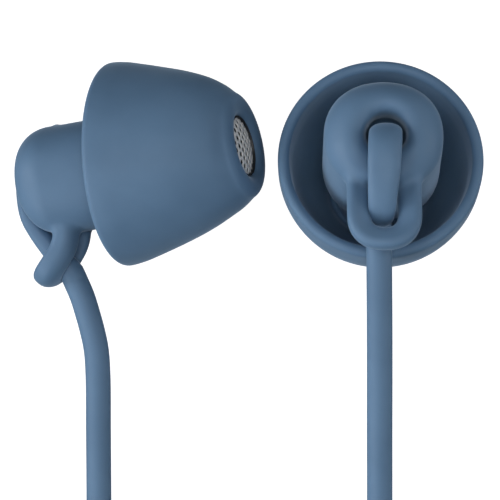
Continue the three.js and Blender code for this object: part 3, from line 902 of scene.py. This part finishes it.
# ------------------------------------------------------------------ pieces kept as the frame has them
def finish_inner_parts(materials):
    """The pieces inside keep their own shapes and get the record's materials."""
    slots = {part["node"]: part["material_slot"] for part in frame["record"]["subparts"]}
    for node, obj in frame["nodes"].items():
        if slots[node] in materials:
            obj.data.materials.clear()
            obj.data.materials.append(materials[slots[node]])


# ------------------------------------------------------------------ surface and light
def make_floor():
    """A pale surface that shows white to the camera and sends no light back onto the object."""
    material = bpy.data.materials.new("pale_surface")
    material.use_nodes = True
    shader = material.node_tree.nodes["Principled BSDF"]
    shader.inputs["Base Color"].default_value = (0.35, 0.35, 0.35, 1.0)
    shader.inputs["Roughness"].default_value = 0.9
    shader.inputs["Emission Color"].default_value = (1.0, 1.0, 1.0, 1.0)
    shader.inputs["Emission Strength"].default_value = 0.96
    floor = add_mesh("floor", [(-3, -3, 0), (3, -3, 0), (3, 3, 0), (-3, 3, 0)], [(0, 1, 2, 3)], material)
    floor.location.z = -0.0001
    floor.visible_diffuse = False
    floor.visible_glossy = False


LIGHT_SIZE = 0.35
FROM_LEFT = (0.98, 0.99, 1.0)
FROM_RIGHT = (1.0, 0.99, 0.98)
NEUTRAL = (1.0, 1.0, 1.0)
LIGHTS = [
    ("left_low", (-0.60, 0.02, 0.11), 1.35, FROM_LEFT),
    ("left", (-0.55, 0.02, 0.26), 0.9, FROM_LEFT),
    ("left_front", (-0.42, -0.40, 0.21), 1.35, FROM_LEFT),
    ("left_front_high", (-0.33, -0.31, 0.40), 0.3, FROM_LEFT),
    ("above", (0.0, 0.02, 0.80), 1.8, NEUTRAL),
    ("right_front", (0.33, -0.31, 0.40), 0.35, FROM_RIGHT),
    ("right_low", (0.60, 0.02, 0.11), 0.6, FROM_RIGHT),
    ("right", (0.55, 0.02, 0.26), 0.3, FROM_RIGHT),
    ("left_back", (-0.38, 0.38, 0.30), 0.25, NEUTRAL),
    ("right_back", (0.38, 0.38, 0.30), 0.4, NEUTRAL),
]


def make_lights():
    """Soft square panels all round, aimed at the buds, and a faint blue sky."""
    aim = Vector((0.0, BUDS_Y, BUD_HEIGHT))
    for name, place, power, color in LIGHTS:
        data = bpy.data.lights.new(name, "AREA")
        data.shape = "RECTANGLE"
        data.size, data.size_y = LIGHT_SIZE, LIGHT_SIZE
        data.energy = power
        data.color = color
        light = bpy.data.objects.new(name, data)
        light.location = place
        light.rotation_euler = (aim - Vector(place)).to_track_quat("-Z", "Y").to_euler()
        bpy.context.collection.objects.link(light)
    world = bpy.data.worlds.new("soft_studio")
    world.use_nodes = True
    world.node_tree.nodes["Background"].inputs["Color"].default_value = (0.80, 0.88, 1.0, 1.0)
    world.node_tree.nodes["Background"].inputs["Strength"].default_value = 0.045
    bpy.context.scene.world = world
    bpy.context.scene.view_settings.view_transform = "Standard"


# ------------------------------------------------------------------ the scene
make_camera()
silicone = silicone_material()
lead(LEFT_BUD, LEFT_LEAD, silicone)
lead(RIGHT_BUD, RIGHT_LEAD, silicone)
plastic = pod_material()
steel = metal_material("pressed_steel", (0.50, 0.50, 0.50), (0.66, 0.65, 0.63), 0.28, 0.42)
grille = plain_material("grille_steel", (0.9, 0.9, 0.89), (0.98, 0.97, 0.95), 0.35, 0.5, 8000.0, metallic=0.15)
# dark plastic for the socket's tongue, also used as painted shade in the thin ring round each grille
dark_plastic_and_painted_shade = plain_material("dark_plastic_and_painted_shade", (0.010, 0.012, 0.014), (0.018, 0.020, 0.024), 0.40, 0.55)
gold = metal_material("copper_and_gold", (0.80, 0.50, 0.22), (0.92, 0.62, 0.30), 0.25, 0.38)
clear = plain_material("clear_plastic", (0.78, 0.82, 0.84), (0.86, 0.90, 0.92), 0.12, 0.2, clear=0.8)
foam = plain_material("damper_foam", (0.020, 0.022, 0.026), (0.060, 0.062, 0.068), 0.85, 0.95, 6000.0, 0.00003)
board = plain_material("circuit_board", (0.006, 0.070, 0.032), (0.012, 0.110, 0.050), 0.25, 0.45, 1200.0)
finish_inner_parts({
    "silicone": silicone,
    "pod_plastic": plastic,
    "steel": steel,
    "black_plastic": dark_plastic_and_painted_shade,
    "copper": gold,
    "clear": clear,
    "wire": metal_material("spring_wire", (0.36, 0.38, 0.40), (0.50, 0.52, 0.54), 0.30, 0.45),
    "foam": foam,
    "film": plain_material("diaphragm_film", (0.50, 0.42, 0.20), (0.60, 0.50, 0.26), 0.15, 0.3),
    "board": board,
    "cell_foil": metal_material("cell_foil", (0.55, 0.56, 0.58), (0.72, 0.73, 0.75), 0.30, 0.55, 900.0),
})
for bud in (LEFT_BUD, RIGHT_BUD):
    ear_tip(bud, silicone)
    rear_housing(bud, silicone)
    nozzle_mesh(bud, grille)
    # the thin dark ring round each grille is painted shade
    nozzle_painted_shade_ring(bud, dark_plastic_and_painted_shade)
neckband_sleeve(silicone)
pod_half("left", False, plastic)
pod_half("left", True, plastic)
pod_ends("left", plastic, silicone)
right_pod(plastic, silicone, steel, dark_plastic_and_painted_shade, gold, clear)
make_floor()
make_lights()
